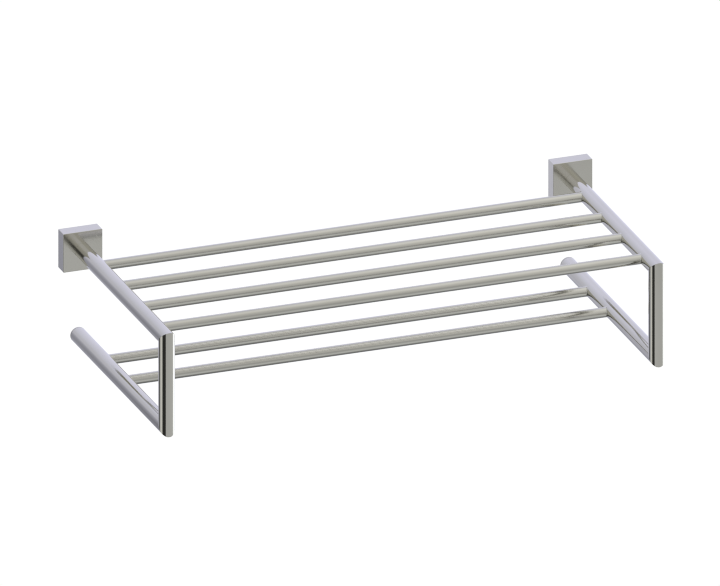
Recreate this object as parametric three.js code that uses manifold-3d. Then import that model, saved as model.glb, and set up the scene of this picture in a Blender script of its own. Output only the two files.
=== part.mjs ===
// A wall-mounted towel rack: two side frames of round tube carry four shelf bars and, below them,
// two towel bars. Each side frame hangs on a wall bracket that a square flange covers.
//
// Units are millimetres. +X runs along the bars, -Y points into the room and +Z is up.
// The origin lies on the wall, midway between the side frames and level with the upper arms.

import * as THREE from 'three';
import { mergeVertices } from 'three/addons/utils/BufferGeometryUtils.js';
import Module from 'manifold-3d';

const wasm = await Module();
wasm.setup();

// ---------------------------------------------------------------- driving dimensions

// The rack as a whole
const FRAME_SPACING = 600; // centre to centre of the two side frames
const PROJECTION = 303; // wall to the front of the posts
const FRAME_DROP = 110.5; // upper arm axis to lower arm axis

// Side frame tube
const TUBE_DIAMETER = 19;
const TUBE_WALL = 1.2;

// Bars
const BAR_DIAMETER = 12;
const BAR_WALL = 1;
const SHELF_BAR_COUNT = 4;
const SHELF_REAR_FROM_WALL = 65.4; // wall to the rear shelf bar's axis
const SHELF_FRONT_FROM_POST = 31.6; // post axis back to the front shelf bar's axis
const TOWEL_BAR_COUNT = 2;
const TOWEL_REAR_FROM_WALL = 83; // wall to the rear towel bar's axis

// Flange, an open-backed square cover
const FLANGE_SIZE = 48;
const FLANGE_DEPTH = 17;
const FLANGE_WALL = 3;

// Wall bracket, a pressed channel inside the flange
const BRACKET_WIDTH = 26;
const BRACKET_THICKNESS = 2;
const BRACKET_LIP = 9; // wall to the lips' front edge
const BRACKET_SLOT_SPACING = 24; // centre to centre of the two screw slots
const BRACKET_SLOT_WIDTH = 5;
const BRACKET_SLOT_LENGTH = 10;
const BRACKET_CLEARANCE = 0.4; // bracket lips to the flange's inside

// Set screw, up through the flange's underside into the bracket's lower lip
const SET_SCREW_DIAMETER = 4;
const SET_SCREW_FROM_WALL = 5.5;
const SET_SCREW_RECESS = 0.5; // below the flange's underside
const SET_SCREW_POINT = 1.5; // beyond the lip's inner face
const SET_SCREW_KEY = 2; // across the flats of its hexagon socket
const SET_SCREW_KEY_DEPTH = 1.8;

// Arm screw and washer, from inside the flange into the insert in the upper arm
const ARM_SCREW_DIAMETER = 6;
const ARM_SCREW_HEAD_DIAMETER = 10.5;
const ARM_SCREW_HEAD_HEIGHT = 3.6;
const ARM_SCREW_REACH = 12; // length of thread inside the insert
const ARM_SCREW_KEY = 4;
const ARM_SCREW_KEY_DEPTH = 2.2;
const ARM_SCREW_CHAMFER = 0.8;
const WASHER_DIAMETER = 12;
const WASHER_THICKNESS = 1.6;
const INSERT_LENGTH = 16;

// End cap, pressed into the rear of the lower arm and bearing on the wall
const CAP_THICKNESS = 2;
const CAP_CHAMFER = 0.8;
const CAP_SPIGOT_LENGTH = 10;

// Clearances and how finely round parts are cut into flats
const FIT_GAP = 0.3; // between pieces that touch, fit or pass through each other
const TUBE_SIDES = 40;
const BAR_SIDES = 28;
const SCREW_SIDES = 20;

// ---------------------------------------------------------------- sizes worked out from those

const TUBE_RADIUS = TUBE_DIAMETER / 2;
const TUBE_BORE_RADIUS = TUBE_RADIUS - TUBE_WALL;
const BAR_RADIUS = BAR_DIAMETER / 2;
const POST_FROM_WALL = PROJECTION - TUBE_RADIUS;
const ARM_REAR = FLANGE_DEPTH + FIT_GAP; // wall to the upper arm's rear end
const LOWER_ARM_REAR = CAP_THICKNESS + FIT_GAP; // wall to the lower arm's rear end
const MITRE_SETBACK = (FIT_GAP / 2) * Math.SQRT2; // along the tube, for half the gap at a mitre
const BAR_PITCH =
  (POST_FROM_WALL - SHELF_FRONT_FROM_POST - SHELF_REAR_FROM_WALL) / (SHELF_BAR_COUNT - 1);
const FLANGE_POCKET_DEPTH = FLANGE_DEPTH - FLANGE_WALL;
const FLANGE_POCKET_SIZE = FLANGE_SIZE - 2 * FLANGE_WALL;
const BRACKET_HEIGHT = FLANGE_POCKET_SIZE - 2 * BRACKET_CLEARANCE;
const PLUG_RADIUS = TUBE_BORE_RADIUS - FIT_GAP; // insert and cap spigot inside the tube
const SCREW_HOLE_RADIUS = ARM_SCREW_DIAMETER / 2 + FIT_GAP;
const SET_SCREW_HOLE_RADIUS = SET_SCREW_DIAMETER / 2 + FIT_GAP;

const shelfBarsFromWall = barPlaces(SHELF_BAR_COUNT, SHELF_REAR_FROM_WALL);
const towelBarsFromWall = barPlaces(TOWEL_BAR_COUNT, TOWEL_REAR_FROM_WALL);

// Distances from the wall of a row of bars, rear one first.
function barPlaces(count, rearFromWall) {
  return Array.from({ length: count }, (_, i) => rearFromWall + i * BAR_PITCH);
}

// ---------------------------------------------------------------- materials

const FINISHES = {
  satinNickel: { color: 0xb9b6ac, metalness: 1, roughness: 0.25 },
  zincPlate: { color: 0xa9adb2, metalness: 1, roughness: 0.4 },
  blackOxide: { color: 0x35363a, metalness: 1, roughness: 0.5 },
  brass: { color: 0xb8995a, metalness: 1, roughness: 0.35 },
};

// ---------------------------------------------------------------- shape helpers

// Corners of the regular polygon that stands for a circle, anticlockwise.
function circle(radius, sides) {
  return Array.from({ length: sides }, (_, i) => {
    const angle = (i * 2 * Math.PI) / sides;
    return new THREE.Vector2(radius * Math.cos(angle), radius * Math.sin(angle));
  });
}

// A flat shape carried from z = 0 to z = depth.
function prism(shape, depth) {
  return new THREE.ExtrudeGeometry(shape, { depth, bevelEnabled: false, curveSegments: 8 });
}

function square(size) {
  const half = size / 2;
  return new THREE.Shape([
    new THREE.Vector2(-half, -half),
    new THREE.Vector2(half, -half),
    new THREE.Vector2(half, half),
    new THREE.Vector2(-half, half),
  ]);
}

// A slot with round ends, lying along x.
function slot(length, width) {
  const radius = width / 2;
  const reach = length / 2 - radius;
  const shape = new THREE.Shape();
  shape.absarc(reach, 0, radius, -Math.PI / 2, Math.PI / 2);
  shape.absarc(-reach, 0, radius, Math.PI / 2, (3 * Math.PI) / 2);
  return shape;
}

// A rod along z from 0 to length.
function rod(radius, length, sides) {
  return prism(new THREE.Shape(circle(radius, sides)), length);
}

// A hexagon key's socket, as a rod along z.
function hexagonKey(acrossFlats, depth) {
  return rod(acrossFlats / Math.sqrt(3), depth, 6);
}

// A round tube along z from 0 to length. Each end's plane slopes with y: 1 or -1 is a 45 degree mitre.
function tube(radius, boreRadius, length, sides, startSlope = 0, endSlope = 0) {
  const ring = new THREE.Shape(circle(radius, sides));
  ring.holes.push(new THREE.Path(circle(boreRadius, sides)));
  const geometry = prism(ring, length);
  const position = geometry.attributes.position;
  for (let i = 0; i < position.count; i += 1) {
    const slope = position.getZ(i) > length / 2 ? endSlope : startSlope;
    position.setZ(i, position.getZ(i) + slope * position.getY(i));
  }
  return geometry;
}

// A solid turned about z. The profile lists [radius, z] and starts and ends on the axis.
function turned(profile, sides) {
  const points = profile.map(([radius, z]) => new THREE.Vector2(radius, z));
  return new THREE.LatheGeometry(points, sides).rotateX(Math.PI / 2);
}

function toSolid(geometry) {
  const bare = geometry.clone();
  bare.deleteAttribute('normal');
  bare.deleteAttribute('uv');
  const merged = mergeVertices(bare);
  const vertProperties = new Float32Array(merged.attributes.position.array);
  const triVerts = new Uint32Array(merged.index.array);
  return new wasm.Manifold(new wasm.Mesh({ numProp: 3, vertProperties, triVerts }));
}

function toGeometry(solid) {
  const { vertProperties, triVerts } = solid.getMesh();
  const geometry = new THREE.BufferGeometry();
  geometry.setAttribute('position', new THREE.BufferAttribute(vertProperties, 3));
  geometry.setIndex(new THREE.BufferAttribute(triVerts, 1));
  geometry.computeVertexNormals();
  return geometry;
}

// The geometry with every cutter taken out of it.
function cut(geometry, cutters) {
  const body = cutters.reduce((left, cutter) => left.subtract(toSolid(cutter)), toSolid(geometry));
  return toGeometry(body);
}

// ---------------------------------------------------------------- sub-parts
//
// The pieces of a side frame are drawn in the frame's own coordinates: x to the viewer's right,
// y up and z out from the wall. The post alone is drawn along its own length.

// An arm from its rear end to the front mitre, drilled on its inner side for the bars.
function arm(rearFromWall, barsFromWall, mitreSlope, inward) {
  const length = POST_FROM_WALL - MITRE_SETBACK - rearFromWall;
  const blank = tube(TUBE_RADIUS, TUBE_BORE_RADIUS, length, TUBE_SIDES, 0, mitreSlope);
  const drills = barsFromWall.map((fromWall) => {
    const drill = rod(BAR_RADIUS + FIT_GAP, TUBE_DIAMETER, BAR_SIDES);
    drill.rotateY((inward * Math.PI) / 2);
    return drill.translate(0, 0, fromWall - rearFromWall);
  });
  return cut(blank, drills).translate(0, 0, rearFromWall);
}

// The post runs along z from the lower mitre to the upper one, both longest at the front, where y is
// lowest.
function post() {
  const length = FRAME_DROP - 2 * MITRE_SETBACK;
  return tube(TUBE_RADIUS, TUBE_BORE_RADIUS, length, TUBE_SIDES, 1, -1);
}

// The flange: a block hollowed from the back, with a hole for the arm screw in front and one for the
// set screw underneath.
function flange() {
  const block = prism(square(FLANGE_SIZE), FLANGE_DEPTH);
  const pocket = prism(square(FLANGE_POCKET_SIZE), 2 * FLANGE_POCKET_DEPTH);
  pocket.translate(0, 0, -FLANGE_POCKET_DEPTH);
  const screwHole = rod(SCREW_HOLE_RADIUS, 2 * FLANGE_DEPTH, SCREW_SIDES);
  const setScrewHole = rod(SET_SCREW_HOLE_RADIUS, 2 * FLANGE_WALL, SCREW_SIDES);
  setScrewHole.rotateX(-Math.PI / 2);
  setScrewHole.translate(0, -FLANGE_SIZE / 2 - FLANGE_WALL / 2, SET_SCREW_FROM_WALL);
  return cut(block, [pocket, screwHole, setScrewHole]);
}

// The wall bracket: a channel with its lips turned out from the wall, two slots for wall screws and
// a hole in the lower lip for the set screw's point.
function wallBracket() {
  const top = BRACKET_HEIGHT / 2;
  const inside = top - BRACKET_THICKNESS;
  const outline = [
    [0, -top],
    [BRACKET_LIP, -top],
    [BRACKET_LIP, -inside],
    [BRACKET_THICKNESS, -inside],
    [BRACKET_THICKNESS, inside],
    [BRACKET_LIP, inside],
    [BRACKET_LIP, top],
    [0, top],
  ];
  const profile = new THREE.Shape(outline.map(([z, y]) => new THREE.Vector2(z, y)));
  const channel = prism(profile, BRACKET_WIDTH);
  channel.translate(0, 0, -BRACKET_WIDTH / 2).rotateY(-Math.PI / 2);
  const slots = [-1, 1].map((end) => {
    const cutter = prism(slot(BRACKET_SLOT_LENGTH, BRACKET_SLOT_WIDTH), 3 * BRACKET_THICKNESS);
    return cutter.translate(0, (end * BRACKET_SLOT_SPACING) / 2, -BRACKET_THICKNESS);
  });
  const lipHole = rod(SET_SCREW_HOLE_RADIUS, 3 * BRACKET_THICKNESS, SCREW_SIDES);
  lipHole.rotateX(-Math.PI / 2).translate(0, -top - BRACKET_THICKNESS, SET_SCREW_FROM_WALL);
  return cut(channel, [...slots, lipHole]);
}

// The set screw points up from the flange's underside, with its hexagon socket below.
function setScrew() {
  const radius = SET_SCREW_DIAMETER / 2;
  const length =
    FLANGE_WALL - SET_SCREW_RECESS + BRACKET_CLEARANCE + BRACKET_THICKNESS + SET_SCREW_POINT;
  const profile = [
    [0, 0],
    [radius, 0],
    [radius, length - radius / 2],
    [radius / 2, length],
    [0, length],
  ];
  const key = hexagonKey(SET_SCREW_KEY, 2 * SET_SCREW_KEY_DEPTH);
  key.translate(0, 0, -SET_SCREW_KEY_DEPTH);
  const screw = cut(turned(profile, SCREW_SIDES), [key]);
  screw.rotateX(-Math.PI / 2);
  return screw.translate(0, -FLANGE_SIZE / 2 + SET_SCREW_RECESS, SET_SCREW_FROM_WALL);
}

// Washer, then screw head, stack from the front wall's inside back towards the wall bracket.
function armWasher() {
  const washer = tube(WASHER_DIAMETER / 2, SCREW_HOLE_RADIUS, WASHER_THICKNESS, SCREW_SIDES);
  return washer.translate(0, 0, FLANGE_POCKET_DEPTH - FIT_GAP - WASHER_THICKNESS);
}

function armScrew() {
  const headFront = FLANGE_POCKET_DEPTH - WASHER_THICKNESS - 2 * FIT_GAP;
  const headBack = headFront - ARM_SCREW_HEAD_HEIGHT;
  const tip = ARM_REAR + ARM_SCREW_REACH;
  const headRadius = ARM_SCREW_HEAD_DIAMETER / 2;
  const radius = ARM_SCREW_DIAMETER / 2;
  const profile = [
    [0, headBack],
    [headRadius - ARM_SCREW_CHAMFER, headBack],
    [headRadius, headBack + ARM_SCREW_CHAMFER],
    [headRadius, headFront],
    [radius, headFront],
    [radius, tip - ARM_SCREW_CHAMFER],
    [radius - ARM_SCREW_CHAMFER, tip],
    [0, tip],
  ];
  const key = hexagonKey(ARM_SCREW_KEY, 2 * ARM_SCREW_KEY_DEPTH);
  key.translate(0, 0, headBack - ARM_SCREW_KEY_DEPTH);
  return cut(turned(profile, SCREW_SIDES), [key]);
}

// The threaded insert is flush with the upper arm's rear end.
function armInsert() {
  return tube(PLUG_RADIUS, SCREW_HOLE_RADIUS, INSERT_LENGTH, SCREW_SIDES).translate(0, 0, ARM_REAR);
}

// The end cap: a disc as wide as the tube that bears on the wall, and a spigot inside the tube.
function endCap() {
  const tip = CAP_THICKNESS + CAP_SPIGOT_LENGTH;
  const profile = [
    [0, 0],
    [TUBE_RADIUS - CAP_CHAMFER, 0],
    [TUBE_RADIUS, CAP_CHAMFER],
    [TUBE_RADIUS, CAP_THICKNESS],
    [PLUG_RADIUS, CAP_THICKNESS],
    [PLUG_RADIUS, tip - CAP_CHAMFER],
    [PLUG_RADIUS - CAP_CHAMFER, tip],
    [0, tip],
  ];
  return turned(profile, TUBE_SIDES);
}

// ---------------------------------------------------------------- assembly

function piece(name, geometry, finish) {
  const mesh = new THREE.Mesh(geometry, new THREE.MeshStandardMaterial(FINISHES[finish]));
  mesh.name = name;
  return mesh;
}

// One side frame with its fixings. side is -1 for the left one and 1 for the right one.
function sideFrame(side, sideName) {
  const inward = -side;
  const upperLevel = [
    piece(`wall_bracket_${sideName}`, wallBracket(), 'zincPlate'),
    piece(`flange_${sideName}`, flange(), 'satinNickel'),
    piece(`flange_set_screw_${sideName}`, setScrew(), 'blackOxide'),
    piece(`arm_washer_${sideName}`, armWasher(), 'zincPlate'),
    piece(`arm_screw_${sideName}`, armScrew(), 'zincPlate'),
    piece(`arm_insert_${sideName}`, armInsert(), 'brass'),
    piece(`upper_arm_${sideName}`, arm(ARM_REAR, shelfBarsFromWall, 1, inward), 'satinNickel'),
  ];
  const lowerLevel = [
    piece(`lower_arm_${sideName}`, arm(LOWER_ARM_REAR, towelBarsFromWall, -1, inward), 'satinNickel'),
    piece(`end_cap_${sideName}`, endCap(), 'satinNickel'),
  ];
  const upright = piece(`front_post_${sideName}`, post(), 'satinNickel');
  upright.position.set(0, -POST_FROM_WALL, -FRAME_DROP + MITRE_SETBACK);

  const upper = new THREE.Group();
  upper.rotation.x = Math.PI / 2;
  upper.add(...upperLevel);
  const lower = new THREE.Group();
  lower.rotation.x = Math.PI / 2;
  lower.position.z = -FRAME_DROP;
  lower.add(...lowerLevel);

  const frame = new THREE.Group();
  frame.position.x = (side * FRAME_SPACING) / 2;
  frame.add(upper, lower, upright);
  return frame;
}

// A row of bars at one level. Each bar ends on the axes of the two arms that hold it.
function barRow(name, barsFromWall, level) {
  const row = new THREE.Group();
  barsFromWall.forEach((fromWall, i) => {
    const geometry = tube(BAR_RADIUS, BAR_RADIUS - BAR_WALL, FRAME_SPACING, BAR_SIDES);
    const bar = piece(`${name}_${i + 1}`, geometry, 'satinNickel');
    bar.rotation.y = Math.PI / 2;
    bar.position.set(-FRAME_SPACING / 2, -fromWall, level);
    row.add(bar);
  });
  return row;
}

const towelRack = new THREE.Group();
towelRack.add(sideFrame(-1, 'left'), sideFrame(1, 'right'));
towelRack.add(barRow('shelf_bar', shelfBarsFromWall, 0));
towelRack.add(barRow('towel_bar', towelBarsFromWall, -FRAME_DROP));

export default towelRack;
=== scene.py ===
# %% [markdown]
# # A towel rack in satin nickel
#
# The rack is a wall-mounted shelf of bars over two towel bars, between side frames of round tube.
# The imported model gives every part's place and size, with round parts cut into flats. This lesson
# makes each part again as a fine surface worked out with numpy, gives it a finish, and lights it.
#
# Lengths are in metres. +X runs along the bars, -Y points into the room, +Z is up, and the wall's
# surface is the plane y = 0.

import math

import bmesh
import bpy
import numpy as np
from mathutils import Matrix, Vector


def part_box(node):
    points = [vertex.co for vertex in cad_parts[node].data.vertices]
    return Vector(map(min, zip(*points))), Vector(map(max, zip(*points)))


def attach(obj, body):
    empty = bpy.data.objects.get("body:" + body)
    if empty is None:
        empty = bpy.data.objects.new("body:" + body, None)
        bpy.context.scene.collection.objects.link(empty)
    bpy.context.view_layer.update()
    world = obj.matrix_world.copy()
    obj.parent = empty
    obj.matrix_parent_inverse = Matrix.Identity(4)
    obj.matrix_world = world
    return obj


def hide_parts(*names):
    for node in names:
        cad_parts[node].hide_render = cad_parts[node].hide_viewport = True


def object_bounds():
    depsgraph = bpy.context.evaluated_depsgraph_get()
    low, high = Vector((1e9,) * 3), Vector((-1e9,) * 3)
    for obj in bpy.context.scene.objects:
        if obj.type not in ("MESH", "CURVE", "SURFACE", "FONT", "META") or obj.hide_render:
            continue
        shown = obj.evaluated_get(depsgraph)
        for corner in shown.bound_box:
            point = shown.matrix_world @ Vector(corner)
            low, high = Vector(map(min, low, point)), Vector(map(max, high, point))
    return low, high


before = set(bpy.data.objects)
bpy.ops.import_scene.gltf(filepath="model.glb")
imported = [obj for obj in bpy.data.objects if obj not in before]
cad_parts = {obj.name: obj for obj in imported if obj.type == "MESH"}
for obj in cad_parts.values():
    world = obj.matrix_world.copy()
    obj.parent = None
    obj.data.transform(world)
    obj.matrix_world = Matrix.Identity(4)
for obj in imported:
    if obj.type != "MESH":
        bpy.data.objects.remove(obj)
cad_box = [list(corner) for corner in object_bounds()]
MM = 0.001
print("parts in the frame:", len(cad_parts), "box:", np.round(cad_box, 4).tolist())

# %% [markdown]
# ## The camera
#
# The rack is looked at from above and a little to its left, along parallel lines, as in a
# catalogue drawing. A long lens from far away could come close to that, but an orthographic camera
# does it exactly: the bars stay parallel. The view is centred slightly up and to the left of the
# middle of the rack.

# %% Point the camera
VIEW_AZIMUTH = math.radians(-20.32)
VIEW_ELEVATION = math.radians(22.67)
VIEW_WIDTH = 0.8268
VIEW_SHIFT_RIGHT = -0.0099
VIEW_SHIFT_UP = 0.0044
VIEW_DISTANCE = 2.0
FILTER_WIDTH = 1.2  # a little crisper than Blender's own 1.5

view_right = Vector((math.cos(VIEW_AZIMUTH), math.sin(VIEW_AZIMUTH), 0))
view_back = Vector((
    math.sin(VIEW_AZIMUTH) * math.cos(VIEW_ELEVATION),
    -math.cos(VIEW_AZIMUTH) * math.cos(VIEW_ELEVATION),
    math.sin(VIEW_ELEVATION),
))
view_up = view_back.cross(view_right)
middle = (Vector(cad_box[0]) + Vector(cad_box[1])) / 2
aim = middle + VIEW_SHIFT_RIGHT * view_right + VIEW_SHIFT_UP * view_up

camera = bpy.data.objects.new("camera", bpy.data.cameras.new("camera"))
camera.data.type = "ORTHO"
camera.data.ortho_scale = VIEW_WIDTH
turn = Matrix((view_right, view_up, view_back)).transposed().to_4x4()
camera.matrix_world = Matrix.Translation(aim + VIEW_DISTANCE * view_back) @ turn
bpy.context.scene.collection.objects.link(camera)
bpy.context.scene.camera = camera
bpy.context.scene.view_settings.view_transform = "Standard"
bpy.context.scene.cycles.filter_width = FILTER_WIDTH
print("camera looks from", np.round(camera.location, 3).tolist())

# %% [markdown]
# ## Surfaces from arrays
#
# Every piece here is a sheet of points on a grid: rows run along a profile, columns run round it.
# Blender could turn or extrude each one with modifiers, but a formula says exactly where every point
# lies, and numpy works it out for the whole grid at once. A piece with a hole through it closes both
# ways, like a ring. A solid piece starts and ends in a pole, where a whole row falls on one point.

# %% A grid of points becomes a closed piece
SMOOTH_BELOW = math.radians(38)  # edges sharper than this stay crisp
MERGE_DISTANCE = 1e-7

made = []


def grid_quads(rows, columns, ring):
    """Corner numbers of the quads between neighbours. Columns always close; rows close on a ring."""
    row = np.arange(rows if ring else rows - 1)[:, None]
    column = np.arange(columns)[None, :]
    next_row, next_column = (row + 1) % rows, (column + 1) % columns
    corners = [
        row * columns + column,
        row * columns + next_column,
        next_row * columns + next_column,
        next_row * columns + column,
    ]
    return np.stack(np.broadcast_arrays(*corners), -1).reshape(-1, 4)


def enclosed_volume(mesh):
    """A sixth of the sum over triangles of a . (b x c): positive when the faces point outwards."""
    mesh.calc_loop_triangles()
    points = np.empty(len(mesh.vertices) * 3)
    corners = np.empty(len(mesh.loop_triangles) * 3, np.int32)
    mesh.vertices.foreach_get("co", points)
    mesh.loop_triangles.foreach_get("vertices", corners)
    a, b, c = points.reshape(-1, 3)[corners.reshape(-1, 3)].transpose(1, 0, 2)
    return (a * np.cross(b, c)).sum() / 6


def new_object(name, points, faces):
    """A mesh object from an array of points and a list of faces, with its faces turned outwards."""
    mesh = bpy.data.meshes.new(name)
    mesh.from_pydata(points.reshape(-1, 3).tolist(), [], [list(map(int, face)) for face in faces])
    if enclosed_volume(mesh) < 0:
        mesh.flip_normals()
    obj = bpy.data.objects.new(name, mesh)
    bpy.context.scene.collection.objects.link(obj)
    return obj


def merge_poles(mesh):
    """Points that share a place become one, so that a pole row closes."""
    work = bmesh.new()
    work.from_mesh(mesh)
    bmesh.ops.remove_doubles(work, verts=work.verts, dist=MERGE_DISTANCE)
    work.to_mesh(mesh)
    work.free()


def surface(name, grid, ring=True):
    """The piece whose grid has the shape (rows, columns, 3)."""
    obj = new_object(name, grid, grid_quads(grid.shape[0], grid.shape[1], ring))
    if not ring:
        merge_poles(obj.data)
    return obj


# %% [markdown]
# ## Profiles with soft corners
#
# No real edge is perfectly sharp. A turned or pressed edge has a radius of a few tenths of a
# millimetre, and that radius is what catches the light. A Bevel modifier could cut it afterwards,
# but a profile with its arcs already in it keeps the number of points known. Each arc gets a guard
# point just before and after it, so that the shading of the flat next to it stays flat.

# %% Rounded outlines
ARC_STEPS = 6
GUARD = 0.06 * MM


def unit(vectors):
    """Each vector divided by its own length."""
    return vectors / np.linalg.norm(vectors, axis=-1, keepdims=True)


def rounded(corners, radii, closed=True):
    """A polygon with an arc at each corner. With half the corner's angle h, an arc of radius r touches
    both sides at r / tan h, and its centre lies on the bisector at r / sin h. On an open line the two
    end points stay as they are."""
    corners = np.asarray(corners, float) * MM
    inner = corners if closed else corners[1:-1]
    radius = np.broadcast_to(np.asarray(radii, float) * MM, len(inner))[:, None]
    before = unit((np.roll(corners, 1, 0) if closed else corners[:-2]) - inner)
    after = unit((np.roll(corners, -1, 0) if closed else corners[2:]) - inner)
    half = 0.5 * np.arccos(np.clip((before * after).sum(1, keepdims=True), -1, 1))
    centre = inner + unit(before + after) * radius / np.sin(half)
    start = inner + before * radius / np.tan(half)
    end = inner + after * radius / np.tan(half)
    sweep = np.pi - 2 * half
    step = np.linspace(0, 1, ARC_STEPS + 1)[None, :]
    from_start = (np.sin((1 - step) * sweep) / np.sin(sweep))[..., None]
    from_end = (np.sin(step * sweep) / np.sin(sweep))[..., None]
    arcs = centre[:, None] + from_start * (start - centre)[:, None] + from_end * (end - centre)[:, None]
    first = (start + GUARD * before)[:, None]
    last = (end + GUARD * after)[:, None]
    line = np.concatenate([first, arcs, last], axis=1).reshape(-1, 2)
    return line if closed else np.concatenate([corners[:1], line, corners[-1:]])


def divided(line, longest, closed=True):
    """The same line with each stretch cut into equal steps no longer than the given length."""
    ends = np.roll(line, -1, 0) if closed else line[1:]
    starts = line if closed else line[:-1]
    count = np.maximum(1, np.ceil(np.linalg.norm(ends - starts, axis=1) / longest - 1e-9)).astype(int)
    which = np.repeat(np.arange(len(starts)), count)
    first = np.repeat(np.cumsum(count) - count, count)
    share = ((np.arange(count.sum()) - first) / count[which])[:, None]
    points = starts[which] + share * (ends - starts)[which]
    return points if closed else np.concatenate([points, line[-1:]])


def axes(along, up):
    """Unit vectors across, up and along, as rows of an array."""
    along, up = np.array(along, float), np.array(up, float)
    return np.stack([np.cross(up, along), up, along])


def turned(profile, origin, along, up, sides):
    """Each profile point (r, a) goes round the axis: origin + a along + r (cos t across + sin t up)."""
    angle = np.linspace(0, 2 * np.pi, sides, endpoint=False)[None, :]
    r, a = profile[:, :1], profile[:, 1:] + 0 * angle
    local = np.stack([r * np.cos(angle), r * np.sin(angle), a], -1)
    return np.asarray(origin) + local @ axes(along, up)


def box(node):
    """Lowest and highest corner of a part of the frame, as arrays."""
    low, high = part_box(node)
    return np.array(low), np.array(high)


def back_centre(node):
    """The middle of the part's side that faces the wall."""
    low, high = box(node)
    return np.array([(low + high)[0] / 2, high[1], (low + high)[2] / 2])


# %% [markdown]
# ## Holes
#
# Bar holes, screw holes and slots are drilled and punched in the real parts. A hole in a curved
# wall has no simple grid of its own, so a cutter made with the same formulas is taken away by a
# Boolean, and the result is kept as the piece's mesh. Every hole edge then lies where a drill
# leaves it.

# %% Drill a piece
def rod(start, end, up, radius, sides=64):
    """A closed round rod between two points, used as a cutter."""
    start, end = np.asarray(start, float), np.asarray(end, float)
    length = np.linalg.norm(end - start)
    profile = np.array([[0, 0], [radius, 0], [radius, length], [0, length]])
    return surface("cutter", turned(profile, start, (end - start) / length, up, sides), ring=False)


def drilled(piece, cutters):
    """The piece with every cutter taken out of it."""
    for cutter in cutters:
        cut = piece.modifiers.new("cut", "BOOLEAN")
        cut.operation = "DIFFERENCE"
        cut.solver = "EXACT"
        cut.object = cutter
    bpy.context.view_layer.update()
    whole = piece.evaluated_get(bpy.context.evaluated_depsgraph_get())
    mesh = bpy.data.meshes.new_from_object(whole)
    piece.modifiers.clear()
    piece.data = mesh
    for cutter in cutters:
        bpy.data.objects.remove(cutter)
    return piece


# %% [markdown]
# ## Finishes
#
# All metal here is described the same way: a base colour, which is what a metal does to the light
# it mirrors, a roughness, which blurs the mirror image, and a fine relief. What makes one metal
# look like satin nickel and another like zinc plate is mostly how the roughness and relief run.
# The patterns sit on Object coordinates, which are the same as the frame's.
#
# Some sockets are given by number. A Map Range takes the value on 0, its range on 1 and 2, and the
# range that it becomes on 3 and 4. A colour Mix takes its share on 0 and the two colours on 6 and 7.

# %% Colours and a node helper
def colour(hex_code):
    """An sRGB hex value as linear red, green, blue and alpha."""
    parts = np.array([int(hex_code[i:i + 2], 16) for i in (1, 3, 5)]) / 255
    linear = np.where(parts <= 0.04045, parts / 12.92, ((parts + 0.055) / 1.055) ** 2.4)
    return (*linear.tolist(), 1.0)


def add(tree, kind, settings=(), inputs=()):
    """Adds one node. settings are its properties, and inputs its sockets by name or number: a socket
    is linked and anything else is set."""
    node = tree.nodes.new(kind)
    for key, value in dict(settings).items():
        setattr(node, key, value)
    for key, value in dict(inputs).items():
        if isinstance(value, bpy.types.NodeSocket):
            tree.links.new(value, node.inputs[key])
        else:
            node.inputs[key].default_value = value
    return node


def new_material(name):
    """An empty material with its output node, and its node tree."""
    material = bpy.data.materials.new(name)
    material.use_nodes = True
    material.node_tree.nodes.clear()
    return material, material.node_tree


RELIEF_DEPTH = 0.03 * MM

# %% [markdown]
# ### Satin nickel
#
# The tube is brass or steel, belt-polished lengthwise, nickel plated and lightly brushed again. The
# eye gets a warm grey mirror, slightly yellow, whose reflections are soft across the brush lines
# and run along them. The thin bars and the flanges, which are die-cast zinc under the same plate,
# are a little duller. Real brush lines are about 0.05 mm apart. Here they are drawn 0.4 mm apart,
# with broader streaks of 3 mm, so that they show at all. Hands and cloths leave faint dull patches
# a few centimetres wide.

# %% Satin nickel, with its brush lines along one axis
NICKEL = colour("#D4D2C9")
NICKEL_DULL = colour("#CDCBC1")
BRUSH_LINE = 0.4 * MM
BRUSH_STREAK = 3.0 * MM
BRUSH_LENGTH = 90 * MM
BRUSH_DEPTH = 0.02 * MM
FINE_SEED = 3.0
STREAK_SEED = 11.0
PATCH_SIZE = 40 * MM
PATCH_DULLING = 0.05
BAR_ROUGHNESS = (0.10, 0.15)
TUBE_ROUGHNESS = (0.06, 0.11)
CAST_ROUGHNESS = (0.12, 0.17)


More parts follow.
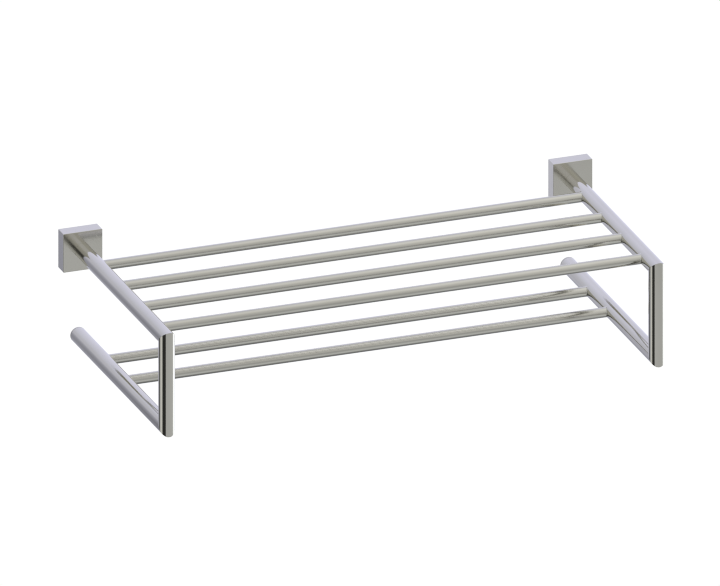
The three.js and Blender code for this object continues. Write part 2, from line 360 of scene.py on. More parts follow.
def satin_nickel(name, axis, roughnesses):
    """Satin nickel brushed along the axis numbered 0, 1 or 2, between two roughnesses."""
    smoothest, roughest = roughnesses
    material, tree = new_material("satin_nickel_" + name)
    place = add(tree, "ShaderNodeTexCoord").outputs["Object"]

    def lines(width, seed):
        """Noise of that width across the brush, stretched to BRUSH_LENGTH along it."""
        scale = np.full(3, 1 / width)
        scale[axis] = 1 / BRUSH_LENGTH
        settings = {"Vector": place, "Scale": scale, "Location": (seed, seed, seed)}
        mapped = add(tree, "ShaderNodeMapping", {}, settings)
        inputs = {"Vector": mapped.outputs[0], "Scale": 1.0, "Detail": 2.0, "Roughness": 0.6}
        return add(tree, "ShaderNodeTexNoise", {}, inputs).outputs[0]

    fine = lines(BRUSH_LINE, FINE_SEED)
    streak = lines(BRUSH_STREAK, STREAK_SEED)
    inputs = {"Vector": place, "Scale": 1 / PATCH_SIZE, "Detail": 3.0}
    patch = add(tree, "ShaderNodeTexNoise", {}, inputs).outputs[0]
    together = add(tree, "ShaderNodeMath", {"operation": "ADD"}, {0: fine, 1: streak}).outputs[0]
    inputs = {0: together, 1: 0.7, 2: 1.3, 3: smoothest, 4: roughest}
    brushed = add(tree, "ShaderNodeMapRange", {}, inputs).outputs[0]
    inputs = {0: patch, 1: 0.45, 2: 0.75, 3: 0.0, 4: PATCH_DULLING}
    handled = add(tree, "ShaderNodeMapRange", {}, inputs).outputs[0]
    inputs = {0: brushed, 1: handled}
    roughness = add(tree, "ShaderNodeMath", {"operation": "ADD"}, inputs).outputs[0]
    inputs = {0: patch, 6: NICKEL, 7: NICKEL_DULL}
    base = add(tree, "ShaderNodeMix", {"data_type": "RGBA"}, inputs).outputs[2]
    inputs = {"Strength": 0.05, "Distance": BRUSH_DEPTH, "Height": fine}
    relief = add(tree, "ShaderNodeBump", {}, inputs).outputs[0]
    inputs = {"Base Color": base, "Metallic": 1.0, "Roughness": roughness, "Normal": relief}
    shader = add(tree, "ShaderNodeBsdfPrincipled", {}, inputs)
    add(tree, "ShaderNodeOutputMaterial", {}, {"Surface": shader.outputs[0]})
    return material


satin_x = satin_nickel("tube_brushed_x", 0, BAR_ROUGHNESS)
satin_y = satin_nickel("tube_brushed_y", 1, TUBE_ROUGHNESS)
satin_z = satin_nickel("tube_brushed_z", 2, TUBE_ROUGHNESS)
satin_cast = satin_nickel("die_cast_brushed_z", 2, CAST_ROUGHNESS)
print("satin nickel:", [finish.name for finish in (satin_x, satin_y, satin_z, satin_cast)])

# %% [markdown]
# ### Zinc-plated steel
#
# Wall brackets, arm screws and washers are steel with bright zinc plate under a clear passivate.
# That gives the eye a cool grey with a faint blue and yellow cast, which drifts over a few
# millimetres, and a blurred mirror image. The tank leaves the roughness a little uneven.

# %% Zinc plate
ZINC_BLUE = colour("#BFC7D0")
ZINC_YELLOW = colour("#CFCBB9")
CAST_SIZE = 9 * MM
ZINC_GRAIN = 0.6 * MM  # real plate is finer, and is drawn this coarse so that it shows


def zinc_plate():
    """Zinc whose colour drifts between two casts and whose fine grain sets its roughness."""
    material, tree = new_material("zinc_plated_steel_passivated")
    place = add(tree, "ShaderNodeTexCoord").outputs["Object"]
    inputs = {"Vector": place, "Scale": 1 / CAST_SIZE, "Detail": 2.0}
    cast = add(tree, "ShaderNodeTexNoise", {}, inputs).outputs[0]
    inputs = {"Vector": place, "Scale": 1 / ZINC_GRAIN, "Detail": 2.0}
    grain = add(tree, "ShaderNodeTexNoise", {}, inputs).outputs[0]
    inputs = {0: cast, 1: 0.35, 2: 0.65}
    drift = add(tree, "ShaderNodeMapRange", {}, inputs).outputs[0]
    inputs = {0: drift, 6: ZINC_BLUE, 7: ZINC_YELLOW}
    base = add(tree, "ShaderNodeMix", {"data_type": "RGBA"}, inputs).outputs[2]
    inputs = {0: grain, 1: 0.3, 2: 0.7, 3: 0.26, 4: 0.4}
    roughness = add(tree, "ShaderNodeMapRange", {}, inputs).outputs[0]
    inputs = {"Strength": 0.15, "Distance": RELIEF_DEPTH, "Height": grain}
    relief = add(tree, "ShaderNodeBump", {}, inputs).outputs[0]
    inputs = {"Base Color": base, "Metallic": 1.0, "Roughness": roughness, "Normal": relief}
    shader = add(tree, "ShaderNodeBsdfPrincipled", {}, inputs)
    add(tree, "ShaderNodeOutputMaterial", {}, {"Surface": shader.outputs[0]})
    return material


zinc = zinc_plate()
print("made", zinc.name)

# %% [markdown]
# ### Black oxide steel
#
# Set screws are hardened steel, blackened in a hot bath and oiled. The eye gets a near-black with
# a dull sheen, browner where the oxide is thin.

# %% Black oxide
OXIDE = colour("#2C2C30")
OXIDE_THIN = colour("#473E37")
OXIDE_PATCH = 1.5 * MM


def black_oxide():
    """Blackened steel whose patches set both the colour and the roughness."""
    material, tree = new_material("black_oxide_steel_oiled")
    place = add(tree, "ShaderNodeTexCoord").outputs["Object"]
    inputs = {"Vector": place, "Scale": 1 / OXIDE_PATCH, "Detail": 4.0}
    patch = add(tree, "ShaderNodeTexNoise", {}, inputs).outputs[0]
    inputs = {0: patch, 1: 0.5, 2: 0.75}
    thin = add(tree, "ShaderNodeMapRange", {}, inputs).outputs[0]
    inputs = {0: thin, 6: OXIDE, 7: OXIDE_THIN}
    base = add(tree, "ShaderNodeMix", {"data_type": "RGBA"}, inputs).outputs[2]
    inputs = {0: patch, 3: 0.32, 4: 0.5}
    roughness = add(tree, "ShaderNodeMapRange", {}, inputs).outputs[0]
    inputs = {"Strength": 0.2, "Distance": RELIEF_DEPTH, "Height": patch}
    relief = add(tree, "ShaderNodeBump", {}, inputs).outputs[0]
    inputs = {"Base Color": base, "Metallic": 1.0, "Roughness": roughness, "Normal": relief}
    shader = add(tree, "ShaderNodeBsdfPrincipled", {}, inputs)
    add(tree, "ShaderNodeOutputMaterial", {}, {"Surface": shader.outputs[0]})
    return material


oxide = black_oxide()
print("made", oxide.name)

# %% [markdown]
# ### Turned brass
#
# The threaded inserts are free-cutting brass, turned from bar and left bare. A lathe tool leaves
# fine rings round the axis, which runs along Y, so the pattern changes quickly along Y and hardly
# at all across it. Real feed marks are about 0.1 mm apart, and here they are 0.4 mm.

# %% Turned brass
BRASS = colour("#D9B566")
BRASS_DARK = colour("#C29A4E")
FEED_MARK = 0.4 * MM
RING_LENGTH = 1 / 30  # the pattern hardly changes across the axis
TARNISH_SIZE = 6 * MM


def turned_brass():
    """Brass with feed marks for roughness and relief, and slow tarnish for its colour."""
    material, tree = new_material("brass_turned")
    place = add(tree, "ShaderNodeTexCoord").outputs["Object"]
    settings = {"Vector": place, "Scale": (1 / RING_LENGTH, 1 / FEED_MARK, 1 / RING_LENGTH)}
    mapped = add(tree, "ShaderNodeMapping", {}, settings).outputs[0]
    marks = add(tree, "ShaderNodeTexNoise", {}, {"Vector": mapped, "Scale": 1.0}).outputs[0]
    inputs = {"Vector": place, "Scale": 1 / TARNISH_SIZE}
    tarnish = add(tree, "ShaderNodeTexNoise", {}, inputs).outputs[0]
    inputs = {0: tarnish, 6: BRASS, 7: BRASS_DARK}
    base = add(tree, "ShaderNodeMix", {"data_type": "RGBA"}, inputs).outputs[2]
    inputs = {0: marks, 1: 0.3, 2: 0.7, 3: 0.22, 4: 0.34}
    roughness = add(tree, "ShaderNodeMapRange", {}, inputs).outputs[0]
    inputs = {"Strength": 0.2, "Distance": RELIEF_DEPTH, "Height": marks}
    relief = add(tree, "ShaderNodeBump", {}, inputs).outputs[0]
    inputs = {"Base Color": base, "Metallic": 1.0, "Roughness": roughness, "Normal": relief}
    shader = add(tree, "ShaderNodeBsdfPrincipled", {}, inputs)
    add(tree, "ShaderNodeOutputMaterial", {}, {"Surface": shader.outputs[0]})
    return material


brass = turned_brass()
print("made", brass.name)

# %% [markdown]
# ## Taking the place of a part
#
# A fine piece stands for the part of the frame that it was made from, which is then hidden. It
# rides on the rack's one body and takes its finish from one material. Smooth
# shading makes the flats between grid points look round, except at edges that really are sharp.

# %% Finish a piece
SLOT_OF = dict.fromkeys((satin_x, satin_y, satin_z, satin_cast), "satin_nickel")
SLOT_OF |= {zinc: "zinc_plated_steel", oxide: "black_oxide_steel", brass: "brass_insert"}


def place_piece(piece, material, *nodes):
    """Gives the piece its finish and its place on the rack, and prints what it measures."""
    piece.data.materials.clear()
    piece.data.materials.append(material)
    piece.data.shade_smooth()
    piece.data.set_sharp_from_angle(angle=SMOOTH_BELOW)
    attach(piece, "root")
    if nodes:
        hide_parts(*nodes)
    made.append(piece)
    volume = enclosed_volume(piece.data) / MM**3
    triangles = len(piece.data.loop_triangles)
    print(f"{piece.name}: {volume:.0f} mm3 of metal, {triangles} triangles")


# %% [markdown]
# ## Side frames: tubes with mitred corners
#
# Each side frame is one run of 19 mm tube, cut at 45 degrees at both front corners, welded and
# polished flush. A curve with a bevel would round those corners. Here the wall's outline, a long
# thin rectangle, goes round the axis, and each point slides along the axis in proportion to its
# height, so that the end falls in the mitre's plane and the wall stays round.

# %% Mitred tube
TUBE_WALL = 1.2 * MM
TUBE_SIDES = 96
TUBE_EDGE = 0.15  # in mm, like every other radius given to rounded()
TUBE_STEP = 2.5 * MM
WELD_SEAM = 0.02 * MM  # a polished weld shows as a hair line
FIT_GAP = 0.3 * MM
BUTT_SEAM = 0.05 * MM  # a screw pulls the arm tight against its flange

left_low, left_high = box("front_post_left")
TUBE_RADIUS = (left_high[0] - left_low[0]) / 2
post_y = left_low[1] + TUBE_RADIUS


def tube(name, start, end, up, slopes):
    """The wall's outline (r, a) goes round the axis as in turned(), and a grows by r sin t times a
    slope that runs evenly from the first end's to the last one's: 1 or -1 is a 45 degree mitre."""
    start, end = np.asarray(start, float), np.asarray(end, float)
    length = np.linalg.norm(end - start)
    along = (end - start) / length
    outer, bore, a = TUBE_RADIUS / MM, (TUBE_RADIUS - TUBE_WALL) / MM, length / MM
    wall = divided(rounded([[outer, 0], [outer, a], [bore, a], [bore, 0]], TUBE_EDGE), TUBE_STEP)
    grid = turned(wall, start, along, up, TUBE_SIDES)
    height = (grid - start) @ np.asarray(up, float)
    slope = slopes[0] + (slopes[1] - slopes[0]) * (wall[:, 1] / length)[:, None]
    return surface(name, grid + (height * slope)[..., None] * along)


# %% [markdown]
# ## Bars, and where they enter the arms
#
# Six bars of 12 mm tube run across, each with its ends in holes drilled in the arms' inner sides.
# The joint is brazed: a small collar of metal fills the gap and leaves a hollow fillet. The
# fillet's ring follows the saddle curve in which the bar's cylinder meets the arm's.

# %% Bars
BAR_WALL = 1.0 * MM
BAR_SIDES = 72
BAR_EDGE = 0.2
BAR_STEP = 12 * MM
FILLET = 0.9 * MM
FILLET_STEPS = 6
FILLET_SIDES = 72

shelf_bars = sorted(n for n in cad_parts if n.startswith("shelf_bar"))
towel_bars = sorted(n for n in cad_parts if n.startswith("towel_bar"))


def bar_axis(node):
    """The bar's ends on its axis, and its radius."""
    low, high = box(node)
    centre = (low + high) / 2
    start = np.array([low[0], centre[1], centre[2]])
    return start, start + [high[0] - low[0], 0, 0], (high[2] - low[2]) / 2


def bar(node):
    """The wall's outline, a long thin rectangle (r, a), goes round the bar's axis as in turned()."""
    start, end, radius = bar_axis(node)
    outer, bore, a = radius / MM, (radius - BAR_WALL) / MM, (end[0] - start[0]) / MM
    wall = divided(rounded([[outer, 0], [outer, a], [bore, a], [bore, 0]], BAR_EDGE), BAR_STEP)
    return surface(node + "_tube", turned(wall, start, (1, 0, 0), (0, 0, 1), BAR_SIDES))


def saddle(radius, angle):
    """How far from the arm's axis a cylinder of that radius round the bar's axis meets the arm: the
    root of R^2 - (r sin t)^2."""
    return np.sqrt(TUBE_RADIUS**2 - (radius * np.sin(angle)) ** 2)


def braze(node, side, side_name):
    """Round the bar, three curves: on the bar, FILLET out from the saddle; the saddle itself; and on
    the arm, FILLET out from the bar. A quadratic Bezier curve through them is the hollow of the
    fillet, and its control point closes the ring."""
    start, end, radius = bar_axis(node)
    arm_x = (start if side < 0 else end)[0]
    angle = np.linspace(0, 2 * np.pi, FILLET_SIDES, endpoint=False)[None, :]

    def curve(r, reach):
        """A circle of radius r round the bar's axis, moved in from the arm's axis by reach."""
        x = arm_x - side * reach
        y = start[1] + r * np.cos(angle)
        z = start[2] + r * np.sin(angle)
        return np.stack(np.broadcast_arrays(x, y, z), -1)

    on_bar = curve(radius, saddle(radius, angle) + FILLET)
    corner = curve(radius, saddle(radius, angle))
    on_arm = curve(radius + FILLET, saddle(radius + FILLET, angle))
    t = np.linspace(0, 1, FILLET_STEPS + 1)[:, None, None]
    hollow = (1 - t) ** 2 * on_bar + 2 * t * (1 - t) * corner + t**2 * on_arm
    return surface(f"braze_{node}_{side_name}", np.concatenate([hollow, corner]))


for node in shelf_bars + towel_bars:
    place_piece(bar(node), satin_x, node)
    for side, side_name in ((-1, "left"), (1, "right")):
        place_piece(braze(node, side, side_name), satin_x)


# %% Arms and posts
HOLE_REACH = 1.5  # in tube radii, so that the cutter comes out of the wall


def bar_holes(nodes, side):
    """A cutter for each bar, from the arm's axis inwards."""
    cutters = []
    for node in nodes:
        start, end, radius = bar_axis(node)
        hole = start if side < 0 else end
        reach = np.array([-side * HOLE_REACH * TUBE_RADIUS, 0, 0])
        cutters.append(rod(hole, hole + reach, (0, 0, 1), radius + FIT_GAP))
    return cutters


SEAM_SETBACK = WELD_SEAM / math.sqrt(2)  # along the tube, from the corner point to the mitre's face

for side, side_name in ((-1, "left"), (1, "right")):
    x = back_centre("front_post_" + side_name)[0]
    for arm, bars, slope, closer in (
        ("upper_arm_", shelf_bars, 1, FIT_GAP - BUTT_SEAM), ("lower_arm_", towel_bars, -1, 0),
    ):
        y, z = back_centre(arm + side_name)[1:]
        rear = np.array([x, y + closer, z])
        front = np.array([x, post_y + SEAM_SETBACK, z])
        piece = tube(arm + side_name + "_tube", rear, front, (0, 0, 1), (0, slope))
        place_piece(drilled(piece, bar_holes(bars, side)), satin_y, arm + side_name)
    top = back_centre("upper_arm_" + side_name)[2]
    bottom = back_centre("lower_arm_" + side_name)[2]
    foot = np.array([x, post_y, bottom + SEAM_SETBACK])
    head = np.array([x, post_y, top - SEAM_SETBACK])
    piece = tube("front_post_" + side_name + "_tube", foot, head, (0, -1, 0), (-1, 1))
    place_piece(piece, satin_z, "front_post_" + side_name)

# %% [markdown]
# ## Flanges
#
# A flange is a die-cast square cup, 17 mm deep, that hides the wall bracket. It could be a cube
# with a Solidify and a Bevel. As a surface it is a closed outline, front and side and rim and
# pocket, carried round a square with slightly rounded corners. Near the middle of the front the
# square becomes a circle, which is the hole for the arm's screw.

# %% Flange
FLANGE_WALL = 3.0
FLANGE_CORNER = 0.045  # corner radius as a share of half the width
FLANGE_RADII = [0.1, 0.45, 0.25, 0.25, 0.8, 0.1]  # screw hole, front, rim twice, pocket, screw hole
SET_HOLE_UP = 2.2 * MM  # from the set screw's middle up through the wall
SET_HOLE_DOWN = 10 * MM
SCREW_RADIUS = 3.0
SET_SCREW_RADIUS = 2.0


def square_ring():
    """A square of half width 1 with rounded corners, as points round the middle."""
    corners = np.array([[-1, -1], [1, -1], [1, 1], [-1, 1]])
    return rounded(corners / MM, FLANGE_CORNER / MM)


def flange(node):
    """Each outline point (s, d) makes a ring at depth d: the unit square times s, or a circle of
    radius s inside the screw hole's rim."""
    low, high = box(node)
    half, depth = (high[0] - low[0]) / 2 / MM, (high[1] - low[1]) / MM
    hole = SCREW_RADIUS + FIT_GAP / MM
    pocket, floor = half - FLANGE_WALL, depth - FLANGE_WALL
    corners = [[hole, depth], [half, depth], [half, 0], [pocket, 0], [pocket, floor], [hole, floor]]
    outline = rounded(corners, FLANGE_RADII)
    square = square_ring()
    circle = unit(square)
    is_square = outline[:, 0] > 2 * hole * MM
    ring = np.where(is_square[:, None, None], square, circle) * outline[:, 0][:, None, None]
    grid = np.stack([ring[..., 0], -outline[:, 1][:, None] + 0 * ring[..., 0], ring[..., 1]], -1)
    return surface(node + "_cover", back_centre(node) + grid)


for side_name in ("left", "right"):
    low, high = box("flange_set_screw_" + side_name)
    below = (low + high) / 2 - [0, 0, SET_HOLE_DOWN]
    above = (low + high) / 2 + [0, 0, SET_HOLE_UP]
    hole = rod(below, above, (0, 1, 0), SET_SCREW_RADIUS * MM + FIT_GAP)
    piece = drilled(flange("flange_" + side_name), [hole])
    place_piece(piece, satin_cast, "flange_" + side_name)

# %% [markdown]
# ## End caps
#
# The lower arm's rear end is closed by a turned cap that bears on the wall. Its outline starts and
# ends on the axis, so the surface has a pole at each end.

# %% End cap
CAP_THICKNESS = 2.0
CAP_EDGE = 0.8
CAP_RADII = [CAP_EDGE, 0.12, 0.1, 0.6]


def end_cap(node):
    """The outline (r, a) steps in from the disc to a spigot that enters the tube, and goes round."""
    low, high = box(node)
    outer, length = (high[0] - low[0]) / 2 / MM, (high[1] - low[1]) / MM
    spigot = outer - (TUBE_WALL + FIT_GAP) / MM
    line = [
        [0, 0], [outer, 0], [outer, CAP_THICKNESS],
        [spigot, CAP_THICKNESS], [spigot, length], [0, length],
    ]
    outline = rounded(line, CAP_RADII, closed=False)
    grid = turned(outline, back_centre(node), (0, -1, 0), (0, 0, 1), TUBE_SIDES)
    return surface(node + "_turned", grid, ring=False)


for side_name in ("left", "right"):
    place_piece(end_cap("end_cap_" + side_name), satin_y, "end_cap_" + side_name)

# %% [markdown]
# ## Wall brackets
#
# A bracket is a strip of 2 mm steel with both ends bent out into lips, punched with two slots for
# wall screws and a hole for the set screw. Its side view is carried straight across the strip's
# width. Bending gives the strip an inside radius of about 1 mm and an outside one of its
# thickness more.

# %% Wall bracket
BRACKET_THICKNESS = 2.0
BEND_INSIDE = 1.0
LIP_EDGE = 0.2
BURR_EDGE = 0.15 * MM
SLOT_SPACING = 24 * MM
SLOT_WIDTH = 5 * MM
SLOT_LENGTH = 10 * MM
SLOT_SIDES = 64
CUT_DEPTH = 5 * MM  # past both faces of the strip
LIP_HOLE = (-2 * MM, 4 * MM)  # the set screw's hole, from below the lip to above it


def slot_cutter(centre, length, width, depth):
    """A circle pulled apart along x by the slot's straight length, carried from front to back."""
    angle = np.linspace(0, 2 * np.pi, SLOT_SIDES, endpoint=False) + np.pi / SLOT_SIDES
    x = width / 2 * np.cos(angle) + np.sign(np.cos(angle)) * (length - width) / 2
    z = width / 2 * np.sin(angle)
    share = np.array([0, 1, 1, 0])[:, None]
    y = np.array([-depth, -depth, depth, depth])[:, None] + 0 * x
    grid = np.stack([share * x, y, share * z], -1)
    return surface("cutter", np.asarray(centre) + grid, ring=False)


def wall_bracket(node):
    """The side view is a closed outline in depth and height. Two copies of it, at the strip's two
    edges, are joined by quads, and a flat face closes each edge."""
    low, high = box(node)
    lip, top = (high[1] - low[1]) / MM, (high[2] - low[2]) / 2 / MM
    inner, sheet = top - BRACKET_THICKNESS, BRACKET_THICKNESS
    side_view = [
        [0, -top], [lip, -top], [lip, -inner], [sheet, -inner],
        [sheet, inner], [lip, inner], [lip, top], [0, top],
    ]
    bend = BEND_INSIDE + BRACKET_THICKNESS
    radii = [bend, LIP_EDGE, LIP_EDGE, BEND_INSIDE, BEND_INSIDE, LIP_EDGE, LIP_EDGE, bend]
    outline = rounded(side_view, radii)
    count = len(outline)
    z = outline[:, 1] + (low + high)[2] / 2
    edges = [np.stack([x + 0 * z, high[1] - outline[:, 0], z], -1) for x in (low[0], high[0])]
    faces = grid_quads(2, count, ring=False).tolist()
    faces += [list(range(count - 1, -1, -1)), list(range(count, 2 * count))]
    piece = new_object(node + "_pressed", np.stack(edges), faces)
    offsets = [np.array([0, 0, way * SLOT_SPACING / 2]) for way in (-1, 1)]
    places = [back_centre(node) + offset for offset in offsets]
    cutters = [slot_cutter(place, SLOT_LENGTH, SLOT_WIDTH, CUT_DEPTH) for place in places]
    screw_low, screw_high = box(node.replace("wall_bracket", "flange_set_screw"))
    screw = (screw_low + screw_high) / 2
    start, end = ([screw[0], screw[1], low[2] + height] for height in LIP_HOLE)
    cutters.append(rod(start, end, (0, 1, 0), SET_SCREW_RADIUS * MM + FIT_GAP))
    return drilled(piece, cutters)


for side_name in ("left", "right"):
    piece = wall_bracket("wall_bracket_" + side_name)
    place_piece(piece, zinc, "wall_bracket_" + side_name)
    edge = piece.modifiers.new("deburred edges", "BEVEL")
    edge.width = BURR_EDGE
    edge.segments = 2
    edge.limit_method = "ANGLE"
    edge.angle_limit = math.radians(40)
    edge.harden_normals = True

# %% [markdown]
# ## Screws, washers and inserts
#
# A screw thread is a formula: the radius at a point depends on how far along the screw it lies
# and how far round, so that one full turn moves the pattern along by one pitch. Sockets for a
# hexagon key come from the same grid, because a ring becomes a hexagon when its radius is divided
# by the cosine of the angle to the nearest flat.

# %% Screws
SCREW_SIDES = 72
ROWS_PER_PITCH = 12
# In mm: the key socket's half width and depth, and the thread's pitch and depth
ARM_KEY = 2.0
ARM_KEY_DEPTH = 2.2
ARM_HEAD_HEIGHT = 3.6
ARM_PITCH = 1.0
ARM_THREAD_DEPTH = 0.6
ARM_THREAD_START = 5.5
SET_KEY = 1.0
SET_KEY_DEPTH = 1.8
SET_POINT = 1.0
SET_PITCH = 0.7
SET_THREAD_DEPTH = 0.38


def hexagon(angle):
    """How much further out than its flat a hexagon lies in each direction."""
    sixth = np.pi / 3
    return 1 / np.cos((angle + sixth / 2) % sixth - sixth / 2)


def screw(name, line, radii, hex_rows, thread, origin, along, up):
    """The outline turns round the axis. Its first rows, as many as hex_rows, are hexagons. Between
    the thread's two ends the radius falls by depth times w, where w is a triangle wave of a / pitch
    - t / one turn, faded in and out over one pitch."""
    start, end, pitch, depth = (value * MM for value in thread)
    socket = np.array(line[:hex_rows]) * MM
    outline = np.concatenate([socket, rounded(line[hex_rows - 1:], radii, closed=False)[1:]])
    outline = divided(outline, pitch / ROWS_PER_PITCH, closed=False)
    angle = np.linspace(0, 2 * np.pi, SCREW_SIDES, endpoint=False)[None, :]
    r, a = outline[:, :1], outline[:, 1:]
    in_socket = np.arange(len(outline))[:, None] <= np.flatnonzero(
        np.isclose(outline, socket[-1]).all(1))[0]
    r = np.where(in_socket, r * hexagon(angle), r + 0 * angle)
    wave = np.abs(2 * ((a / pitch - angle / (2 * np.pi)) % 1) - 1)
    fade = np.clip((a - start) / pitch, 0, 1) * np.clip((end - a) / pitch, 0, 1)
    on_shank = ~in_socket & (r > depth * 2)
    r = r - np.where(on_shank, depth * fade * wave, 0)
    local = np.stack([r * np.cos(angle), r * np.sin(angle), a + 0 * angle], -1)
    return surface(name, np.asarray(origin) + local @ axes(along, up), ring=False)


def arm_screw(node):
    """An M6 cap screw, head to the wall, thread towards the room."""
    low, high = box(node)
    length, head = (high[1] - low[1]) / MM, (high[0] - low[0]) / 2 / MM
    line = [
        [0, ARM_KEY_DEPTH], [ARM_KEY, ARM_KEY_DEPTH], [ARM_KEY, 0.2], [ARM_KEY + 0.35, 0],
        [head, 0], [head, ARM_HEAD_HEIGHT], [SCREW_RADIUS, ARM_HEAD_HEIGHT],
        [SCREW_RADIUS, length], [0, length],
    ]
    radii = [0.05, 0.8, 0.2, 0.2, 0.8]
    thread = (ARM_THREAD_START, length - 0.4, ARM_PITCH, ARM_THREAD_DEPTH)
    origin = back_centre(node)
    return screw(node + "_threaded", line, radii, 3, thread, origin, (0, -1, 0), (0, 0, 1))


def set_screw(node):
    """An M4 socket set screw with its cone point upwards."""
    low, high = box(node)
    length, radius = (high[2] - low[2]) / MM, SET_SCREW_RADIUS
    line = [
        [0, SET_KEY_DEPTH], [SET_KEY, SET_KEY_DEPTH], [SET_KEY, 0.12], [SET_KEY + 0.2, 0],
        [radius, 0], [radius, length - SET_POINT], [radius / 2, length], [0, length],
    ]
    radii = [0.05, 0.25, 0.1, 0.1]
    thread = (0.3, length - SET_POINT, SET_PITCH, SET_THREAD_DEPTH)
    origin = [(low + high)[0] / 2, (low + high)[1] / 2, low[2]]
    return screw(node + "_threaded", line, radii, 3, thread, origin, (0, 0, 1), (0, 1, 0))


for side_name in ("left", "right"):
    place_piece(arm_screw("arm_screw_" + side_name), zinc, "arm_screw_" + side_name)
    place_piece(set_screw("flange_set_screw_" + side_name), oxide, "flange_set_screw_" + side_name)


# %% Washers and inserts
WASHER_RADII = [0.5, 0.1, 0.4, 0.1]
INSERT_RADII = [0.5, 0.5, 0.6, 0.6]


def sleeve(name, node, bore, radii):
    """A ring between the part's two ends: its outline is a rectangle from the bore to the outside."""
    low, high = box(node)
    outer, length = (high[0] - low[0]) / 2 / MM, (high[1] - low[1]) / MM
    outline = rounded([[outer, 0], [outer, length], [bore, length], [bore, 0]], radii)
    return surface(name, turned(outline, back_centre(node), (0, -1, 0), (0, 0, 1), SCREW_SIDES))


for side_name in ("left", "right"):
    bore = SCREW_RADIUS + FIT_GAP / MM
    node = "arm_washer_" + side_name
    place_piece(sleeve(node + "_punched", node, bore, WASHER_RADII), zinc, node)
    node = "arm_insert_" + side_name
    place_piece(sleeve(node + "_turned", node, bore, INSERT_RADII), brass, node)

# %% [markdown]
# ## Studio
#
# Metal shows its surroundings, so the light is the picture. The rack hangs in the middle of a
# tent about two metres in radius, whose inside glows. Behind it the cloth is lit from the upper
# right: cool and bright there, with a step down towards the lower left, where it ends in the dark.
# In front it is neutral grey at eye level and brighter overhead. Panels hang inside. On the left
# are a bright one above eye level, a narrow light lower down, and dark flags beside and below it:
# one draws the dark line down each post, and the others the dark lines where bars meet the arms. A
# bright wall stands low on the right. Area lights could do this too, but a tent has no hot spots,
# and its soft edges are formulas in the direction from the middle.

# %% Light tent
TENT_RADIUS = 2.1
BEHIND_POWER = 1.16
BEHIND_POWER_LOW = 0.64  # below the rack
# The cloth behind, from the lower left, 0, to the upper right, 1
SLANT = (0.85, 0.0, 0.52)
BEHIND_BY_SLANT = [
    (0.05, "#6E6F71"), (0.12, "#4C4C50"), (0.19, "#9596A4"), (0.225, "#A2A3B3"), (0.295, "#C6C7D7"),
    (0.37, "#CACBDB"), (0.50, "#D5D7EB"), (0.65, "#DEDFF7"), (0.71, "#E2E3FB"), (0.80, "#DEDFF6"),
]
# The cloth in front, from straight down, 0, to straight up, 1
FRONT_BY_HEIGHT = [
    (0.00, "#797A7B"), (0.06, "#929496"), (0.14, "#CED0D4"), (0.22, "#D3D5D9"), (0.31, "#C5C6C8"),
    (0.41, "#B6B8BA"), (0.51, "#B2B3B4"), (0.60, "#BCBCBC"), (0.69, "#C6C6C6"), (0.78, "#CECECE"),
    (0.85, "#D5D5D5"), (0.91, "#E0E0E0"), (0.96, "#EBEBEB"),
]
# Each panel: bearing from the front, right positive, in degrees; height as a share of the radius;
# softness of its edges; colour; power
PANELS = [
    ((-24.0, 6.0), (0.0, 0.7), 0.12, "#E0E1EA", 1.0),
    ((-105.0, -74.0), (-0.75, 0.1), 0.05, "#DFDFDE", 1.0),
    ((-74.0, -33.5), (-0.75, 0.1), 0.06, "#343433", 1.0),
    ((-74.0, -28.0), (-0.1, 0.1), 0.06, "#4A4A49", 1.0),
    ((-130.0, -12.0), (-1.1, -0.58), 0.06, "#545453", 1.0),
    ((70.5, 132.0), (-0.8, -0.2), 0.05, "#F3F6FF", 1.7),
]
# Where one light turns into another, in shares of the radius
UNDER_THE_RACK = (-0.62, -0.42)
ABOVE_EYE_LEVEL = (-0.1, 0.3)
TO_THE_RIGHT = (0.15, 0.5)
TOWARDS_THE_BACK = (-0.3, 0.5)
BEHIND_BEGINS = (-0.02, 0.25)
BEHIND_BULGE = 1.2
FRONT_POWER = 0.99
RIGHT_EXTRA = 0.21
COOLER = "#F3F5FF"

# %% Nodes of the tent's cloth
S_STEP = {"interpolation_type": "SMOOTHSTEP"}
TIMES = {"operation": "MULTIPLY"}
TIMES_PLUS = {"operation": "MULTIPLY_ADD"}
MIX = {"data_type": "RGBA"}


def window(tree, value, low, high, soft):
    """1 from low to high and 0 outside, with soft edges: one rising step minus another."""
    steps = []
    for edge in (low, high):
        inputs = {0: value, 1: edge - soft, 2: edge + soft}
        steps.append(add(tree, "ShaderNodeMapRange", S_STEP, inputs).outputs[0])
    inputs = {0: steps[0], 1: steps[1]}
    return add(tree, "ShaderNodeMath", {"operation": "SUBTRACT"}, inputs).outputs[0]


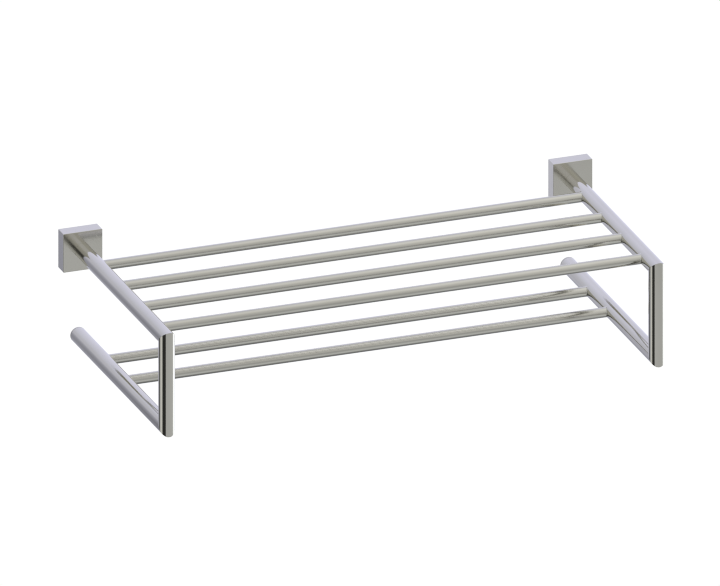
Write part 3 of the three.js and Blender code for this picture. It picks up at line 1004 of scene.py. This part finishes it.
def tent_material():
    """Light by direction: a gradient in front, another behind, and the panels mixed over both."""
    material, tree = new_material("light_tent_cloth")
    place = add(tree, "ShaderNodeTexCoord").outputs["Object"]
    direction = add(tree, "ShaderNodeVectorMath", {"operation": "NORMALIZE"}, {0: place}).outputs[0]
    x, y, z = add(tree, "ShaderNodeSeparateXYZ", {}, {0: direction}).outputs

    # two gradients, one along a slanting line and one by height
    shades = []
    for line, stops in ((SLANT, BEHIND_BY_SLANT), ((0, 0, 1), FRONT_BY_HEIGHT)):
        inputs = {0: direction, 1: line}
        along = add(tree, "ShaderNodeVectorMath", {"operation": "DOT_PRODUCT"}, inputs)
        share = add(tree, "ShaderNodeMath", TIMES_PLUS, {0: along.outputs[1], 1: 0.5, 2: 0.5})
        ramp = add(tree, "ShaderNodeValToRGB", {}, {0: share.outputs[0]})
        for i, (position, hex_code) in enumerate(stops):
            stop = ramp.color_ramp.elements[i] if i < 2 else ramp.color_ramp.elements.new(position)
            stop.position = position
            stop.color = colour(hex_code)
        shades.append(ramp.outputs[0])
    back, front = shades
    low, high = UNDER_THE_RACK
    inputs = {0: z, 1: low, 2: high, 3: BEHIND_POWER_LOW, 4: BEHIND_POWER}
    power = add(tree, "ShaderNodeMapRange", S_STEP, inputs).outputs[0]
    inputs = {0: back, "Scale": power}
    back = add(tree, "ShaderNodeVectorMath", {"operation": "SCALE"}, inputs).outputs[0]

    # above eye level the front brightens towards the right
    low, high = ABOVE_EYE_LEVEL
    above = add(tree, "ShaderNodeMapRange", S_STEP, {0: z, 1: low, 2: high}).outputs[0]
    low, high = TO_THE_RIGHT
    rightward = add(tree, "ShaderNodeMapRange", S_STEP, {0: x, 1: low, 2: high}).outputs[0]
    both = add(tree, "ShaderNodeMath", TIMES, {0: above, 1: rightward}).outputs[0]
    inputs = {0: both, 1: RIGHT_EXTRA, 2: FRONT_POWER}
    gain = add(tree, "ShaderNodeMath", TIMES_PLUS, inputs).outputs[0]
    inputs = {0: front, "Scale": gain}
    front = add(tree, "ShaderNodeVectorMath", {"operation": "SCALE"}, inputs).outputs[0]

    # towards the back the roof and the ground cool a little
    low, high = TOWARDS_THE_BACK
    far = add(tree, "ShaderNodeMapRange", S_STEP, {0: y, 1: low, 2: high}).outputs[0]
    inputs = {0: far, 6: colour("#FFFFFF"), 7: colour(COOLER)}
    cooling = add(tree, "ShaderNodeMix", MIX, inputs).outputs[2]
    front = add(tree, "ShaderNodeVectorMath", TIMES, {0: front, 1: cooling}).outputs[0]

    # behind is where y outgrows z^2 times the bulge
    z_squared = add(tree, "ShaderNodeMath", TIMES, {0: z, 1: z}).outputs[0]
    depth = add(tree, "ShaderNodeMath", TIMES_PLUS, {0: z_squared, 1: -BEHIND_BULGE, 2: y}).outputs[0]
    low, high = BEHIND_BEGINS
    behind = add(tree, "ShaderNodeMapRange", S_STEP, {0: depth, 1: low, 2: high}).outputs[0]
    light = add(tree, "ShaderNodeMix", MIX, {0: behind, 6: front, 7: back}).outputs[2]

    # the panels hang in front of the cloth, each where its bearing and height say
    minus_y = add(tree, "ShaderNodeMath", TIMES, {0: y, 1: -1.0}).outputs[0]
    bearing = add(tree, "ShaderNodeMath", {"operation": "ARCTAN2"}, {0: x, 1: minus_y}).outputs[0]
    for bearings, heights, soft, hex_code, power in PANELS:
        across = window(tree, bearing, *np.radians(bearings), soft)
        upwards = window(tree, z, *heights, soft)
        share = add(tree, "ShaderNodeMath", TIMES, {0: across, 1: upwards}).outputs[0]
        glow = (*(power * part for part in colour(hex_code)[:3]), 1)
        light = add(tree, "ShaderNodeMix", MIX, {0: share, 6: light, 7: glow}).outputs[2]
    shader = add(tree, "ShaderNodeEmission", {}, {"Color": light})
    add(tree, "ShaderNodeOutputMaterial", {}, {"Surface": shader.outputs[0]})
    material.cycles.emission_sampling = "NONE"
    return material


# %% Hang the tent
TENT_ROWS = 49
TENT_SIDES = 96

arc = np.linspace(0, np.pi, TENT_ROWS)
half_circle = np.stack([TENT_RADIUS * np.sin(arc), -TENT_RADIUS * np.cos(arc)], -1)
ball = turned(half_circle, (0, 0, 0), (0, 0, 1), (0, 1, 0), TENT_SIDES)
tent = surface("light_tent", ball, ring=False)
tent.data.shade_smooth()
tent.data.materials.append(tent_material())
tent.visible_camera = False
print("tent:", len(tent.data.polygons), "faces and", len(PANELS), "panels")

# %% [markdown]
# ## Floor and background
#
# The floor is a light table: a sheet of opal acrylic lit from below, well under the rack. It glows
# by itself, so no shadow falls on it, and the metal doesn't mirror it. It is hardly brighter than
# white paper, so the metal's edges against it stay soft. The background is the same white.

# %% Floor and background
FLOOR_BELOW = 1.15
FLOOR_HALF = 12.0
FLOOR_GLOW = 1.02

floor_corners = np.array([[-1, -1, 0], [1, -1, 0], [1, 1, 0], [-1, 1, 0]])
floor_points = FLOOR_HALF * floor_corners - [0, 0, FLOOR_BELOW]
floor = new_object("floor", floor_points, [[0, 1, 2, 3]])
material, tree = new_material("opal_acrylic_lit_from_below")
shader = add(tree, "ShaderNodeEmission", {}, {"Color": colour("#FFFFFF"), "Strength": FLOOR_GLOW})
add(tree, "ShaderNodeOutputMaterial", {}, {"Surface": shader.outputs[0]})
floor.data.materials.append(material)
floor.visible_glossy = False

world = bpy.data.worlds.new("white_background")
world.use_nodes = True
world.node_tree.nodes["Background"].inputs["Color"].default_value = colour("#FFFFFF")
bpy.context.scene.world = world
print("floor:", 2 * FLOOR_HALF, "m wide,", FLOOR_BELOW, "m below the rack")

# %% Measure
total = sum(len(piece.data.loop_triangles) for piece in made)
print("pieces:", len(made), "triangles:", total)
